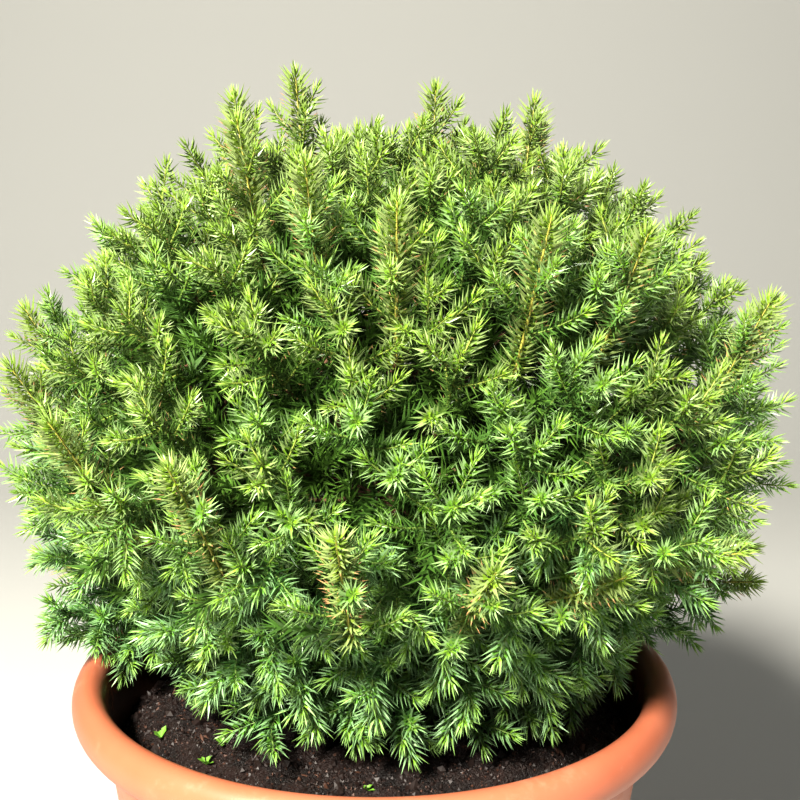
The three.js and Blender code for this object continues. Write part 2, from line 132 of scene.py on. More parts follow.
class Wire:
    """A node's output in an expression."""

    def __init__(self, graph, socket):
        self.graph = graph
        self.socket = socket

    __add__, __radd__ = math_node("ADD"), math_node("ADD", flipped=True)
    __mul__, __rmul__ = math_node("MULTIPLY"), math_node("MULTIPLY", flipped=True)
    __sub__ = math_node("SUBTRACT")
    __gt__, __lt__ = math_node("GREATER_THAN"), math_node("LESS_THAN")

    def out(self, name):
        """Another output of the same node."""
        return Wire(self.graph, self.socket.node.outputs[name])


class Graph:
    """A node tree that nodes are added to in order."""

    def __init__(self, tree):
        self.tree = tree

    def add(self, kind, settings=None, *values, **named):
        """A node with its settings first, then its values or links, by place or by socket name."""
        node = self.tree.nodes.new(kind)
        for key, value in (settings or {}).items():
            setattr(node, key, value)
        shown = [s for s in node.inputs if s.enabled]
        for socket, value in zip(shown, values):
            self.put(socket, value)
        for key, value in named.items():
            words = key.replace("_", " ").lower()
            self.put(next(s for s in shown if s.name.lower() == words), value)
        return Wire(self, next(s for s in node.outputs if s.enabled))

    def put(self, socket, value):
        if isinstance(value, Wire):
            self.tree.links.new(value.socket, socket)
        else:
            socket.default_value = value

    def smooth(self, value, low, high, low_out=0.0, high_out=1.0):
        """value eased from low_out at low to high_out at high."""
        settings = {"interpolation_type": "SMOOTHSTEP"}
        return self.add("ShaderNodeMapRange", settings, value, low, high, low_out, high_out)

    def random(self, low, high, seed):
        """A random number for each element, the same on each run."""
        settings = {"data_type": "FLOAT"}
        return self.add("FunctionNodeRandomValue", settings, min=low, max=high, seed=seed)

    def shape_of(self, thing):
        return self.add("GeometryNodeObjectInfo", object=thing).out("Geometry")

    def round_axis(self, place):
        """A place's distance from the Z axis, and its height."""
        parts = self.add("ShaderNodeSeparateXYZ", None, place)
        x, y = parts.out("X"), parts.out("Y")
        return self.add("ShaderNodeMath", {"operation": "SQRT"}, x * x + y * y), parts.out("Z")


def geometry_tree(name, objects, whole, numbers=()):
    """A Geometry Nodes tree's graph and the wires of its inputs, of which one is a whole number."""
    kinds = {"Material": "Material", whole: "Int"}
    kinds |= {label: "Object" for label in objects} | {label: "Float" for label in numbers}
    tree = bpy.data.node_groups.new(name, "GeometryNodeTree")
    tree.interface.new_socket("Geometry", in_out="OUTPUT", socket_type="NodeSocketGeometry")
    for label, kind in kinds.items():
        tree.interface.new_socket(label, in_out="INPUT", socket_type=f"NodeSocket{kind}")
    entry = tree.nodes.new("NodeGroupInput")
    graph = Graph(tree)
    return graph, {label: Wire(graph, entry.outputs[label]) for label in kinds}


def end_tree(graph, geometry, material):
    """Realizes the instances, sets the material and closes the tree."""
    real = graph.add("GeometryNodeRealizeInstances", geometry=geometry)
    shown = graph.add("GeometryNodeSetMaterial", geometry=real, material=material)
    leave = graph.tree.nodes.new("NodeGroupOutput")
    graph.tree.links.new(shown.socket, leave.inputs[0])
    return graph.tree


def run_tree(name, tree, values):
    """A plain mesh object made by a tree from its named inputs."""
    carrier = link(name + "_maker", bpy.data.meshes.new(name + "_maker"))
    modifier = carrier.modifiers.new("maker", "NODES")
    modifier.node_group = tree
    for item in tree.interface.items_tree:
        if item.in_out == "INPUT" and item.name in values:
            modifier[item.identifier] = values[item.name]
    bpy.context.view_layer.update()
    depsgraph = bpy.context.evaluated_depsgraph_get()
    mesh = bpy.data.meshes.new_from_object(carrier.evaluated_get(depsgraph))
    mesh.name = name
    bpy.data.objects.remove(carrier)
    return link(name, mesh)


# ---- Meshes ----


def link(name, data):
    thing = bpy.data.objects.new(name, data)
    bpy.context.scene.collection.objects.link(thing)
    return thing


def mesh_object(name, points, faces, material=None, smooth=False):
    mesh = bpy.data.meshes.new(name)
    mesh.from_pydata([tuple(p) for p in points], [], faces)
    if material:
        mesh.materials.append(material)
    mesh.shade_smooth() if smooth else mesh.shade_flat()
    mesh.update()
    return link(name, mesh)


def show(thing, nodes):
    """Puts a finished piece on the plant in place of its solids."""
    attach(thing, "root")
    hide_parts(*nodes)


def ring_faces(rings, count):
    """Quads between rings of points that lie one after another."""
    faces = []
    for j in range(rings - 1):
        for i in range(count):
            k = (i + 1) % count
            faces.append((j * count + i, j * count + k, (j + 1) * count + k, (j + 1) * count + i))
    return faces


def close_rings(points, count, low, high):
    """Points and faces of rings of count points each, closed at heights low and high on the axis."""
    faces = ring_faces(len(points) // count, count)
    bottom, top, last = len(points), len(points) + 1, len(points) - count
    for i in range(count):
        k = (i + 1) % count
        faces.append((bottom, k, i))
        faces.append((top, last + i, last + k))
    return points + [(0, 0, low), (0, 0, high)], faces


def full_turn(count):
    return [2 * math.pi * i / count for i in range(count)]


def lathe(profile, segments):
    """Points and faces of a profile that starts and ends on the axis, turned round Z."""
    turns = full_turn(segments)
    points = [(r * math.cos(a), r * math.sin(a), z) for r, z in profile[1:-1] for a in turns]
    return close_rings(points, segments, profile[0][1], profile[-1][1])


def arc(centre, radii, first, last, step):
    """Points of an arc of an ellipse, from the first to the last angle in whole degrees."""
    turns = [math.radians(degrees) for degrees in range(first, last + 1, step)]
    return [(centre[0] + radii[0] * math.cos(a), centre[1] + radii[1] * math.sin(a)) for a in turns]


# ---- Materials ----

PLASTIC_DEEP, PLASTIC_PALE, CHALK = (0.37, 0.122, 0.066), (0.41, 0.141, 0.079), (0.78, 0.5, 0.38)
SPLASHED, SPLASH_TOP, SPLASH_FULL = (0.05, 0.028, 0.018), 292 * MM, 268 * MM
SOIL_BLACK, SOIL_BROWN = (0.006, 0.003, 0.0025), (0.02, 0.009, 0.007)
SOIL_FLECK = (0.08, 0.035, 0.022)
BARK_FURROW, BARK_STRIP, BARK_SCALE = (0.06, 0.03, 0.018), (0.24, 0.13, 0.075), (260, 260, 28)
SEEDLING_GREEN = (0.13, 0.27, 0.035)


def shader(name, build):
    """A material whose Principled shader build(graph) gives inputs for."""
    material = bpy.data.materials.new(name)
    material.use_nodes = True
    tree = material.node_tree
    principled = tree.nodes["Principled BSDF"]
    graph = Graph(tree)
    for socket, value in build(graph).items():
        graph.put(principled.inputs[socket], value)
    return material


def object_place(graph):
    return graph.add("ShaderNodeTexCoord").out("Object")


def object_noise(graph, scale, detail, roughness=0.5):
    settings = {"scale": scale, "detail": detail, "roughness": roughness}
    return graph.add("ShaderNodeTexNoise", vector=object_place(graph), **settings)


def blend_colours(graph, factor, *colours):
    colours = [(*colour, 1) if isinstance(colour, tuple) else colour for colour in colours]
    return graph.add("ShaderNodeMix", {"data_type": "RGBA", "clamp_factor": True}, factor, *colours)


def bump(graph, height, distance, strength):
    return graph.add("ShaderNodeBump", strength=strength, distance=distance, height=height)


def plastic_finish(graph):
    """Satin moulded plastic: faintly mottled, with splashes of soil low on the inside of the wall."""
    radius, z = graph.round_axis(object_place(graph))
    mottle = object_noise(graph, scale=14.0, detail=5.0)
    tone = blend_colours(graph, graph.smooth(mottle, 0.35, 0.65), PLASTIC_DEEP, PLASTIC_PALE)
    dust = graph.smooth(object_noise(graph, scale=55.0, detail=8.0, roughness=0.65), 0.52, 0.72)
    chalky = blend_colours(graph, dust * 0.1, tone, CHALK)
    slope = (wall_radius(POT_HEIGHT) - POT_BASE) / POT_HEIGHT
    inside = graph.smooth(radius - slope * z, POT_BASE - 1.5 * MM, POT_BASE - 3 * MM)
    inside = inside * (z > FLOOR / 2)
    low = graph.smooth(z, SPLASH_TOP, SPLASH_FULL)
    drops = object_noise(graph, scale=120.0, detail=6.0, roughness=0.7)
    splash = graph.smooth(drops + 0.35 * low, 0.55, 0.75)
    grain = object_noise(graph, scale=900.0, detail=2.0)
    return {
        "Base Color": blend_colours(graph, inside * splash * 0.85, chalky, SPLASHED),
        "Roughness": graph.smooth(mottle, 0.2, 0.8, 0.36, 0.48) + 0.2 * dust,
        "Normal": bump(graph, grain + 2.0 * mottle, distance=0.06 * MM, strength=0.5),
    }


def soil_finish(graph):
    """Moist, crumbly peat: dark brown with blacker and redder patches."""
    coarse = object_noise(graph, scale=60.0, detail=6.0, roughness=0.6)
    fine = object_noise(graph, scale=420.0, detail=4.0, roughness=0.7)
    dark = blend_colours(graph, graph.smooth(coarse, 0.35, 0.65), SOIL_BLACK, SOIL_BROWN)
    fleck = graph.smooth(fine, 0.62, 0.72)
    return {
        "Base Color": blend_colours(graph, fleck * 0.6, dark, SOIL_FLECK),
        "Roughness": 0.45,
        "Normal": bump(graph, coarse + fine, distance=3.5 * MM, strength=1.0),
    }


def bark_finish(graph):
    """Stringy bark in strips along Z."""
    place = graph.add("ShaderNodeMapping", vector=object_place(graph), scale=BARK_SCALE)
    strips = graph.add("ShaderNodeTexNoise", vector=place, scale=1.0, detail=5.0, roughness=0.6)
    return {
        "Base Color": blend_colours(graph, graph.smooth(strips, 0.38, 0.62), BARK_FURROW, BARK_STRIP),
        "Roughness": 0.85,
        "Normal": bump(graph, strips, distance=1.2 * MM, strength=0.8),
    }


def plain(colour, roughness=0.5, specular=0.5):
    """A surface of one even colour."""
    inputs = {"Base Color": (*colour, 1), "Roughness": roughness, "Specular IOR Level": specular}
    return lambda graph: inputs


# ---- Pot ----


def wall_radius(z):
    top = RIM_RADIUS - RIM_WIDTH + 0.4 * WALL
    return POT_BASE + (top - POT_BASE) * z / (POT_HEIGHT - RIM_HEIGHT)


def inner_radius(z):
    return min(wall_radius(z) - WALL, RIM_RADIUS - RIM_WIDTH)


def pot_profile():
    throat = POT_HEIGHT - RIM_HEIGHT
    roll = (RIM_WIDTH / 2, RIM_HEIGHT / 2)
    profile = [(0, 0), (BASE_RING, 0)]
    profile += arc((POT_BASE - FOOT_ROUND, FOOT_ROUND), (FOOT_ROUND, FOOT_ROUND), -90, 0, 18)
    outside = [FOOT_ROUND + (throat - FOOT_ROUND) * step / 12 for step in range(1, 13)]
    profile += [(wall_radius(z), z) for z in outside]
    profile += arc((RIM_RADIUS - roll[0], POT_HEIGHT - roll[1]), roll, -72, 180, 12)
    inside = [throat - (throat - FLOOR) * step / 10 for step in range(11)]
    profile += [(inner_radius(z), z) for z in inside]
    return profile + [(BASE_RING, FLOOR), (0, FLOOR)]


def make_pot(material):
    points, faces = lathe(pot_profile(), 160)
    pot = mesh_object("pot_shell", points, faces, material, smooth=True)
    bit = [(0, -FLOOR), (DRAIN_RADIUS, -FLOOR), (DRAIN_RADIUS, 3 * FLOOR), (0, 3 * FLOOR)]
    bit_points, bit_faces = lathe(bit, 28)
    points, faces = [], []
    for a in full_turn(DRAIN_HOLES):
        start = len(points)
        across, back = DRAIN_CIRCLE * math.cos(a), DRAIN_CIRCLE * math.sin(a)
        points += [(x + across, y + back, z) for x, y, z in bit_points]
        faces += [tuple(start + k for k in face) for face in bit_faces]
    drill = mesh_object("drill", points, faces, material)
    cut = pot.modifiers.new("drain_holes", "BOOLEAN")
    cut.operation, cut.object, cut.solver = "DIFFERENCE", drill, "EXACT"
    mesh = bpy.data.meshes.new_from_object(pot.evaluated_get(bpy.context.evaluated_depsgraph_get()))
    pot.modifiers.clear()
    pot.data = mesh
    bpy.data.objects.remove(drill)
    mesh.set_sharp_from_angle(angle=math.radians(40))
    show(pot, ["pot"])


# ---- Soil ----

# Lumps of the soil: their height, their size and where their noise is read.
SOIL_LUMPS = [(4.2 * MM, 30 * MM, 0, 0), (3.6 * MM, 12 * MM, 1, 0), (1.8 * MM, 4 * MM, 0, 1)]


def lump(x, y, size):
    return noise.fractal(Vector((x / size, y / size, 0.37)), 1.0, 2.0, 4)


def soil_height(radius, x, y):
    """The root ball's flat top falls over a shoulder to a groove beside the wall."""
    edge = inner_radius(SOIL_GROOVE)
    radii = [0, SOIL_CREST_RADIUS, SOIL_SHOULDER_RADIUS, edge]
    base = float(np.interp(radius, radii, [SOIL_CREST, SOIL_CREST, SOIL_SHOULDER, SOIL_GROOVE]))
    fade = min(1.0, (edge - radius) / SOIL_EDGE) * min(1.0, max(0.0, radius - SOIL_MIDDLE) / SOIL_EASED)
    rough = sum(height * lump(x + right, y + back, size) for height, size, right, back in SOIL_LUMPS)
    return min(base + fade * rough, SOIL_TOP)


def make_soil(material):
    floor_z = FLOOR + 0.4 * MM
    turns = full_turn(SOIL_SEGMENTS)
    low = inner_radius(FLOOR) - SOIL_SLACK
    points = [(low * math.cos(a), low * math.sin(a), floor_z) for a in turns]
    for radius in np.linspace(inner_radius(SOIL_GROOVE) - SOIL_SLACK, 2 * MM, SOIL_RINGS):
        for a in turns:
            x, y = radius * math.cos(a), radius * math.sin(a)
            points.append((x, y, soil_height(radius, x, y)))
    points, faces = close_rings(points, SOIL_SEGMENTS, floor_z, SOIL_CREST)
    soil = mesh_object("root_ball", points, faces, material, smooth=True)
    show(soil, ["potting_soil"])
    return soil


def crumb_template(name, seed, stretch, faces):
    """A lumpy crumb of eight or twenty faces, one unit across."""
    shape = bmesh.new()
    if faces == 8:
        bmesh.ops.create_uvsphere(shape, u_segments=4, v_segments=2, radius=0.5)
    else:
        bmesh.ops.create_icosphere(shape, subdivisions=1, radius=0.5)
    for vertex in shape.verts:
        push = 1 + 0.45 * noise.noise(vertex.co * 2.3 + Vector((seed, 0, 0)))
        vertex.co = Vector(a * b * push for a, b in zip(vertex.co, stretch))
    mesh = bpy.data.meshes.new(name)
    shape.to_mesh(mesh)
    shape.free()
    return link(name, mesh)


def crumb_tree():
    """Crumbs strewn over the upward faces of a surface."""
    numbers = ["Density", "Smallest", "Largest", "Inside"]
    graph, wire = geometry_tree("crumbs", ["Ground", "Crumb"], "Seed", numbers)
    normal = graph.add("ShaderNodeSeparateXYZ", None, graph.add("GeometryNodeInputNormal"))
    radius, z = graph.round_axis(graph.add("GeometryNodeInputPosition"))
    chosen = (normal.out("Z") > 0.25) * (z > SOIL_GROOVE - 5 * MM) * (radius > wire["Inside"])
    points = graph.add("GeometryNodeDistributePointsOnFaces", mesh=graph.shape_of(wire["Ground"]),
                       selection=chosen, density=wire["Density"], seed=wire["Seed"])
    share = graph.random(0.0, 1.0, wire["Seed"])
    size = wire["Smallest"] + (wire["Largest"] - wire["Smallest"]) * share * share * share
    turn = graph.add("FunctionNodeRandomValue", {"data_type": "FLOAT_VECTOR"},
                     min=(0, 0, 0), max=(6.3, 6.3, 6.3), seed=wire["Seed"])
    placed = graph.add("GeometryNodeInstanceOnPoints", points=points,
                       instance=graph.shape_of(wire["Crumb"]), rotation=turn, scale=size)
    return end_tree(graph, placed, wire["Material"])


# Crumbs: name, faces, shape, number to a square metre, smallest and largest size in millimetres, how
# near to the axis they may lie, roughness and colour.
CRUMBS = [
    ("soil_crumbs", 8, (1, 0.9, 0.8), 110000.0, 0.9, 4.0, 76 * MM, 0.55, (0.013, 0.0055, 0.004)),
    ("soil_grains", 8, (1, 0.8, 0.7), 50000.0, 0.8, 2.8, 76 * MM, 0.6, (0.06, 0.025, 0.015)),
    ("peat_lumps", 20, (1, 0.8, 0.7), 8000.0, 3.0, 10.0, 85 * MM, 0.55, (0.013, 0.006, 0.0045)),
    ("bark_chips", 20, (1.6, 0.6, 0.3), 3500.0, 2.0, 6.0, 80 * MM, 0.6, (0.08, 0.037, 0.023)),
    ("pale_grit", 8, (1, 0.9, 0.8), 1000.0, 0.5, 1.5, 80 * MM, 0.5, (0.16, 0.11, 0.085)),
]


def strew_crumbs(soil):
    tree = crumb_tree()
    for seed, kind in enumerate(CRUMBS):
        name, faces, stretch, density, smallest, largest, inside, roughness, colour = kind
        template = crumb_template(name + "_shape", seed, stretch, faces)
        crumbs = run_tree(name, tree, {
            "Ground": soil, "Crumb": template, "Density": density, "Smallest": smallest * MM,
            "Largest": largest * MM, "Inside": inside, "Seed": seed,
            "Material": shader(name, plain(colour, roughness)),
        })
        bpy.data.objects.remove(template)
        show(crumbs, ["potting_soil"])


# Seedlings beside the wall: azimuth in degrees, distance from the axis, number and length of leaves.
SEEDLINGS = [
    (-139, 109 * MM, 8, 7 * MM), (-135, 125 * MM, 8, 8 * MM), (-160, 128 * MM, 7, 9 * MM),
    (-92, 118 * MM, 6, 6 * MM), (-8, 126 * MM, 7, 7 * MM), (62, 116 * MM, 8, 8 * MM),
    (124, 121 * MM, 7, 7 * MM),
]


def make_seedlings(material):
    """Small broad-leaved seedlings, each a rosette of folded leaves."""
    points, faces = [], []
    for azimuth, distance, leaves, length in SEEDLINGS:
        draw = seeded(SEED + leaves + round(azimuth))
        root = towards(azimuth, 0) * distance
        root.z = soil_height(distance, root.x, root.y)
        for k in range(leaves):
            way = towards(k * GOLDEN_ANGLE, 25 + 45 * draw())
            side = way.cross(UP).normalized() * 0.22 * length
            long = length * (0.6 + 0.4 * draw())
            half, end = root + way * 0.55 * long, root + way * long - UP * 0.2 * long
            start = len(points)
            points += [root, half + side, half - UP * 0.08 * long, half - side, end]
            faces += [(start, start + 2, start + 1), (start, start + 3, start + 2),
                      (start + 1, start + 2, start + 4), (start + 2, start + 3, start + 4)]
    show(mesh_object("seedlings", points, faces, material), ["potting_soil"])


# ---- Trunk and boughs ----


def trunk_centre(z):
    share = (z - TRUNK_FOOT) / TRUNK_HEIGHT
    return Vector((TRUNK_LEAN[0] * math.sin(2.2 * share), TRUNK_LEAN[1] * share * share, z))


def flare_fade(above):
    return math.exp(-2 * above / TRUNK_FLARE_HEIGHT)


def trunk_radius(above):
    straight = TRUNK_BASE + (TRUNK_TIP - TRUNK_BASE) * above / TRUNK_HEIGHT
    return straight + TRUNK_FLARE * flare_fade(above)


def limb(centres, radii, sides, ridge, buttress=None):
    """Points and faces of a round limb with ridges of bark; buttress says how far roots stand out."""
    points = []
    for j, (centre, radius) in enumerate(zip(centres, radii)):
        ahead = centres[min(j + 1, len(centres) - 1)] - centres[max(j - 1, 0)]
        axis = ahead.normalized()
        across = axis.orthogonal() if j == 0 else across - axis * across.dot(axis)
        across.normalize()
        other = axis.cross(across)
        along = 40 * centre.z + 3 * centre.x
        for a in full_turn(sides):
            out = across * math.cos(a) + other * math.sin(a)
            rough = noise.noise(Vector((4 * math.cos(a), 4 * math.sin(a), along)))
            root = 1 + buttress[j] * math.cos(3 * math.atan2(out.y, out.x)) if buttress else 1
            points.append(centre + out * (radius * root + ridge * (rough - 0.35)))
    faces = ring_faces(len(centres), sides)
    faces.append(tuple(reversed(range(sides))))
    last = (len(centres) - 1) * sides
    faces.append(tuple(last + i for i in range(sides)))
    return points, faces


def make_trunk(material):
    heights = [TRUNK_HEIGHT * (j / TRUNK_STEPS) ** 1.4 for j in range(TRUNK_STEPS + 1)]
    centres = [trunk_centre(TRUNK_FOOT + h) for h in heights]
    buttress = [BUTTRESS * flare_fade(h) for h in heights]
    radii = [trunk_radius(h) for h in heights]
    points, faces = limb(centres, radii, TRUNK_SIDES, TRUNK_RIDGE, buttress)
    show(mesh_object("stem_bark", points, faces, material, smooth=True), ["trunk"])


def quadratic(start, bend, end, share):
    return start * (1 - share) ** 2 + bend * (2 * share * (1 - share)) + end * share ** 2


def from_trunk(point):
    """How far a point is from the trunk's straight line."""
    foot, top = trunk_centre(TRUNK_FOOT), trunk_centre(TRUNK_FOOT + TRUNK_HEIGHT)
    line = top - foot
    share = min(1.0, max(0.0, (point - foot).dot(line) / line.length_squared))
    return (point - foot - line * share).length


def plan_bough(mass):
    """Where a mass's bough starts, bends and ends; the top mass sits on the trunk."""
    if not mass["bough"]:
        top = trunk_centre(TRUNK_FOOT + TRUNK_HEIGHT)
        return top, top, top
    start = trunk_centre(mass["bough"])
    out = mass["heart"] - start
    share = 1.0
    while from_trunk(start + out * share) > INNER_ROOM - 2 * BOUGH_TIP:
        share -= 0.01
    end = start + out * share
    bend = start.lerp(end, BOUGH_BEND) - UP * BOUGH_SAG * out.length
    return start, bend, end


def make_boughs(masses, material):
    shares = [j / BOUGH_STEPS for j in range(BOUGH_STEPS + 1)]
    radii = [BOUGH_BASE + (BOUGH_TIP - BOUGH_BASE) * share for share in shares]
    for mass in masses:
        if mass["bough"]:
            centres = [quadratic(*mass["limb"], share) for share in shares]
            points, faces = limb(centres, radii, BOUGH_SIDES, BOUGH_RIDGE)
            name = "bough_bark_" + mass["name"]
            bough = mesh_object(name, points, faces, material, smooth=True)
            show(bough, ["bough_" + mass["name"]])


# ---- The crown's rule ----


def seeded(seed):
    """Repeatable random numbers from 0 to 1 for one whole-number seed."""
    mask = 2 ** 32 - 1
    state = seed & mask

    def draw():
        nonlocal state
        state = (state + 0x6D2B79F5) & mask
        mixed = ((state ^ (state >> 15)) * (state | 1)) & mask
        mixed ^= (mixed + (((mixed ^ (mixed >> 7)) * (mixed | 61)) & mask)) & mask
        return (mixed ^ (mixed >> 14)) / 2 ** 32

    return draw


def share_of_step(step):
    """How far out a step from the crown's centre leads."""
    upper = step.z > 0
    power = CROWN_ABOVE if upper else CROWN_BELOW
    across = math.hypot(step.x / CROWN_RX, step.y / CROWN_RY)
    height = abs(step.z) / (CROWN_UP if upper else CROWN_DOWN)
    forward = towards(TUCK_AZIMUTH, 0).dot(Vector((step.x / CROWN_RX, step.y / CROWN_RY, 0)))
    front = min(1, max(0, forward / (TUCK_WIDTH * across or 1)))
    front = front * front * (3 - 2 * front)
    tuck = 0 if upper else TUCK_DEPTH * front * height / (across + height)
    return ((across * (1 + tuck)) ** power + height ** power) ** (1 / power)


def share_of(point):
    """How far out a point is: 0 at the crown's centre, 1 on its surface."""
    return share_of_step(point - CROWN_CENTRE)


def outwards(direction, share=1.0):
    """The point that lies a share of the way out in a direction."""
    return CROWN_CENTRE + direction * (share / share_of_step(direction))


def facing(point):
    """The direction in which the crown's surface faces at a point."""
    step = 0.5 * MM
    sides = [Vector((step, 0, 0)), Vector((0, step, 0)), Vector((0, 0, step))]
    return Vector(share_of(point + s) - share_of(point - s) for s in sides).normalized()


def towards(azimuth, latitude):
    a, b = math.radians(azimuth), math.radians(latitude)
    return Vector((math.cos(b) * math.cos(a), math.cos(b) * math.sin(a), math.sin(b)))


def plan_masses():
    """Masses with their hearts, the walls of their spaces and their boughs."""
    masses = []
    for name, count, latitude, first, lowest, heights, rise in RINGS:
        for i in range(count):
            masses.append({
                "name": f"{name}_{i + 1}" if count > 1 else name,
                "heart": outwards(towards(first + 360 * i / count, latitude), HEART),
                "bough": lowest + (i % heights) * rise if lowest else 0,
            })
    for mass in masses:
        hearts = [other["heart"] for other in masses if other is not mass]
        mass["walls"] = [((mass["heart"] + h) / 2, (h - mass["heart"]).normalized()) for h in hearts]
        mass["limb"] = plan_bough(mass)
    return masses


def past(wall, point):
    """How far a point lies beyond a wall, a point and a direction outwards."""
    return (point - wall[0]).dot(wall[1]) + SPACE_GAP / 2


def lowest_at(point):
    """The lowest that foliage may hang at a point."""
    radius = math.hypot(point.x, point.y)
    return OVER_SOIL if radius < INSIDE_RIM else OVER_RIM if radius < OUTSIDE_RIM else OUTSIDE_POT


def spread(place, count, scatter=0.0):
    """The sine of the latitude and the direction of one of count places spread over the crown."""
    z = 1 - ((place + 0.5) / count) * (1 - LOWEST)
    azimuth = math.radians(place * GOLDEN_ANGLE + scatter)
    across = math.sqrt(1 - z * z)
    return z, Vector((across * math.cos(azimuth), across * math.sin(azimuth), z))


def plan_spray(i, masses, between=False):
    """Where one spray stands, which way it points and how long it is, as in the solids.

    between gives the smaller spray that fills the gap halfway to a neighbour.
    """
    draw = seeded(SEED + i + (SPRAYS if between else 0))
    z, direction = spread(i + (0.5 if between else 0), SPRAYS, SCATTER * (draw() - 0.5))
    leader = i % LEADER_EVERY == 0 and z > LEADER_LOWEST and not between
    kind = LEADER if leader else SIDE
    lift = kind["lift"] * (1 if z > 0 else 1 + z / LIFTED_TO)
    aim = (facing(outwards(direction)) + UP * max(lift, MOST_DROOP)).normalized()
    grow = kind["grow"] * (0.4 + 0.6 * draw() if leader else draw() - 0.4)
    tip = outwards(direction) + aim * (grow - (BETWEEN_LOWER if between else 0))
    foot = tip - aim * kind["length"] * (0.9 + 0.2 * draw())
    middle = (foot + tip) / 2
    mass = min(masses, key=lambda m: (m["heart"] - middle).length_squared)
    habit = "leader" if leader else "between" if between else "side"
    spray = {"foot": foot, "tip": tip, "habit": habit, "mass": mass, "height": z, "draw": draw}
    return settle(spray, kind["reach"])


def settle(spray, reach):
    """Moves a spray by the least that keeps it inside its mass's space and above pot and soil."""
    for _ in range(SETTLE_ROUNDS):
        for wall in spray["mass"]["walls"]:
            over = max(past(wall, spray["foot"]), past(wall, spray["tip"])) + WALL_SHARE * reach
            if over > 0:
                spray["foot"] -= wall[1] * over
                spray["tip"] -= wall[1] * over
        ends = (spray["foot"], spray["tip"])
        sunk = max(lowest_at(end) + SETTLE_ROOM * reach - end.z for end in ends)
        if sunk > 0:
            spray["foot"] += UP * sunk
            spray["tip"] += UP * sunk
    return spray


# ---- Twigs and shoots ----


def shoot_path(start, direction, length, lift, steps=4):
    """A shoot that bends towards the light as it grows."""
    points = [start]
    for j in range(steps):
        share = (j + 0.5) / steps
        way = (direction * (1 - lift * share) + UP * lift * share).normalized()
        points.append(points[-1] + way * (length / steps))
    return points


def fits(points, room):
    """Whether a shoot stays in the crown, above pot and soil and off the stem."""
    above, aside = room
    for point in points[1:]:
        inside = share_of(point) <= PAST_CROWN and from_trunk(point) >= aside
        if not inside or point.z < lowest_at(point) + above:
            return False
    return True


def side_direction(axis, turn, degrees):
    """A direction at some degrees from an axis, turned about it."""
    across = axis.orthogonal().normalized()
    out = across * math.cos(turn) + axis.cross(across) * math.sin(turn)
    angle = math.radians(degrees)
    return (axis * math.cos(angle) + out * math.sin(angle)).normalized()


def place_back(path, back):
    """The point that lies a length back along a path from its end, and the path's direction there."""
    for first, last in zip(path[-2::-1], path[:0:-1]):
        step = (last - first).length
        if back <= step or first is path[0]:
            return last.lerp(first, min(1, back / step)), (last - first).normalized()
        back -= step


# The least room above pot and soil and off the stem: of shoots in the outer coat and of shaded ones.
COAT_ROOM, SHADE_ROOM = (4 * MM, 26 * MM), (3 * MM, 12 * MM)
# Side shoots of a spray: how many, how far back the first and last stand, and their lengths there.
SIDE_SHOOTS = {
    "leader": {"count": 6, "first": 27 * MM, "last": 68 * MM, "short": 20 * MM, "long": 36 * MM},
    "side": {"count": 5, "first": 9 * MM, "last": 46 * MM, "short": 18 * MM, "long": 34 * MM},
    "between": {"count": 4, "first": 9 * MM, "last": 36 * MM, "short": 16 * MM, "long": 28 * MM},
}
SIDE_ANGLE, SIDE_ANGLE_MORE, SIDE_ANGLE_SCATTER = 42, 16, 12  # degrees; the last shoots spread more
SIDE_PLACE_SCATTER, LIFT_LOW, LIFT_HIGH, HIGH_FROM = 4 * MM, 0.1, 0.3, -0.2
STALK_BEND, STALK_STEPS, SPRAY_STEPS = 0.45, 5, 3
STALK_RADII, BOUGH_END_RADII = (1.4 * MM, 0.8 * MM), (BOUGH_TIP, 2 * MM)
INNER_SHOOTS, BOUGH_SHOOTS = 4, 22  # shaded shoots along a stalk and along a bough
INNER_ANGLE, SHADED_LIFT = 65, 0.1
# Shaded sprays under the crown's outer coat: how many, how far out they stand and their shoots.
SHELL_SPRAYS, SHELL_SHARE, SHELL_SHOOTS = 190, 0.68, 7
SHELL_ANGLE, SHELL_ANGLE_STEP, SHELL_RADII = 25, 9, (1.0 * MM, 0.6 * MM)


def grow_spray(spray, shoots, wood):
    """One spray's own twig and its side shoots, each longer the further it is from the tip."""
    draw, heart, hue = spray["draw"], spray["mass"]["heart"], spray["hue"]
    foot, tip = spray["foot"], spray["tip"]
    bend = foot - (tip - foot).normalized() * STALK_BEND * (foot - heart).length
    stalk = [quadratic(heart, bend, foot, j / STALK_STEPS) for j in range(STALK_STEPS + 1)]
    path = stalk + [foot.lerp(tip, j / SPRAY_STEPS) for j in range(1, SPRAY_STEPS + 1)]
    wood.append((stalk, STALK_RADII))
    own_hue = "leading" if spray["habit"] == "leader" else hue
    shoots[own_hue].append(path[STALK_STEPS - 1:])
    habit = SIDE_SHOOTS[spray["habit"]]
    lift = LIFT_HIGH if spray["height"] > HIGH_FROM else LIFT_LOW
    turn = 2 * math.pi * draw()
    for k in range(habit["count"]):
        share = k / (habit["count"] - 1)
        back = habit["first"] + (habit["last"] - habit["first"]) * share
        back += SIDE_PLACE_SCATTER * (draw() - 0.5)
        turn += math.radians(GOLDEN_ANGLE)
        start, along = place_back(path, back)
        angle = SIDE_ANGLE + SIDE_ANGLE_MORE * share + SIDE_ANGLE_SCATTER * (draw() - 0.5)
        length = habit["short"] + (habit["long"] - habit["short"]) * share ** 0.6
        way = side_direction(along, turn, angle)
        branch = shoot_path(start, way, length * (0.85 + 0.3 * draw()), lift)
        if fits(branch, COAT_ROOM):
            shoots[hue].append(branch)
    if spray["habit"] != "between":
        grow_inside(stalk, INNER_SHOOTS, draw, shoots)


